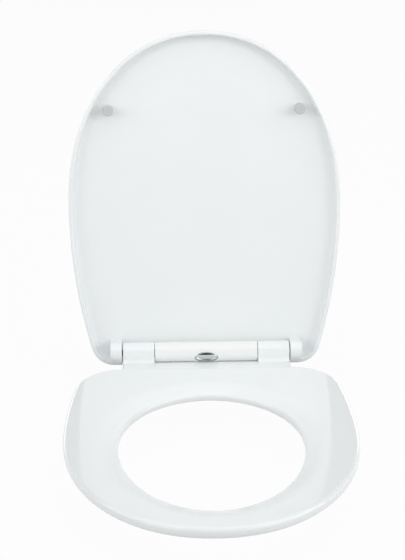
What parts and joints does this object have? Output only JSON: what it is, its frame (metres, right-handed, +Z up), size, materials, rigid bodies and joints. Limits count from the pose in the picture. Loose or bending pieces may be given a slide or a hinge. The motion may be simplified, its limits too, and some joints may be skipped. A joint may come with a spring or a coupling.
{
  "type": "toilet seat",
  "caption": "Soft-close toilet seat: dished lid and ring on one hinge line, with a push-button release and bolt fixings for the pan.",
  "frame": {"origin": "on the top face of the pan, midway between the two fixing bolts", "axes": "+Z up, front of the seat towards -Y, +X to the right as seen from the front; the hinge axis runs along X"},
  "size_m": [0.37, 0.5497, 0.4928],
  "materials": {
    "seat_white": "high gloss moulded",
    "hinge_white": "satin moulded",
    "buffer_grey": "soft matt",
    "damper_grey": "satin moulded",
    "button_chrome": "plated",
    "stainless_steel": "plain"
  },
  "bodies": {
    "base": {"hinge_base": "hinge_white", "hinge_cover": "seat_white", "lid_damper_case": "damper_grey", "lid_damper_cap": "damper_grey", "ring_damper_rotor": "damper_grey", "mounting_post_left": "hinge_white", "mounting_post_right": "hinge_white", "gasket_left": "buffer_grey", "gasket_right": "buffer_grey", "fixing_bolt_left": "stainless_steel", "fixing_bolt_right": "stainless_steel", "cone_washer_left": "buffer_grey", "cone_washer_right": "buffer_grey", "button_spring_left": "stainless_steel", "button_spring_right": "stainless_steel"},
    "lid": {"lid_cover": "seat_white", "lid_buffer_left": "buffer_grey", "lid_buffer_right": "buffer_grey", "lid_damper_rotor": "damper_grey", "lid_pivot_bush": "damper_grey"},
    "ring": {"seat_ring": "seat_white", "ring_buffer_front_left": "buffer_grey", "ring_buffer_front_right": "buffer_grey", "ring_buffer_rear_left": "buffer_grey", "ring_buffer_rear_right": "buffer_grey", "ring_damper_case": "damper_grey", "ring_damper_cap": "damper_grey", "lid_pivot_pin": "stainless_steel"},
    "release": {"release_button": "button_chrome", "lock_plate": "stainless_steel"},
    "wing_nut_left": {"wing_nut_left": "hinge_white"},
    "wing_nut_right": {"wing_nut_right": "hinge_white"}
  },
  "joints": [
    {"name": "lid_hinge", "type": "hinge", "parent": "base", "child": "lid", "pos_m": [0, 0.008, 0.029], "axis": [-1, 0, 0], "range_deg": [-102, 0]},
    {"name": "ring_hinge", "type": "hinge", "parent": "base", "child": "ring", "pos_m": [0, 0.008, 0.029], "axis": [-1, 0, 0], "range_deg": [0, 102]},
    {"name": "button_press", "type": "slide", "parent": "base", "child": "release", "axis": [0, 1, 0], "range_m": [0, 0.0035], "stiffness_N_per_m": 1000, "springref_m": -0.002, "deforming": ["button_spring_left", "button_spring_right"]},
    {"name": "wing_nut_left_turn", "type": "hinge", "parent": "base", "child": "wing_nut_left", "pos_m": [-0.0775, 0, -0.026], "axis": [0, 0, 1], "continuous": true},
    {"name": "wing_nut_right_turn", "type": "hinge", "parent": "base", "child": "wing_nut_right", "pos_m": [0.0775, 0, -0.026], "axis": [0, 0, 1], "continuous": true}
  ]
}
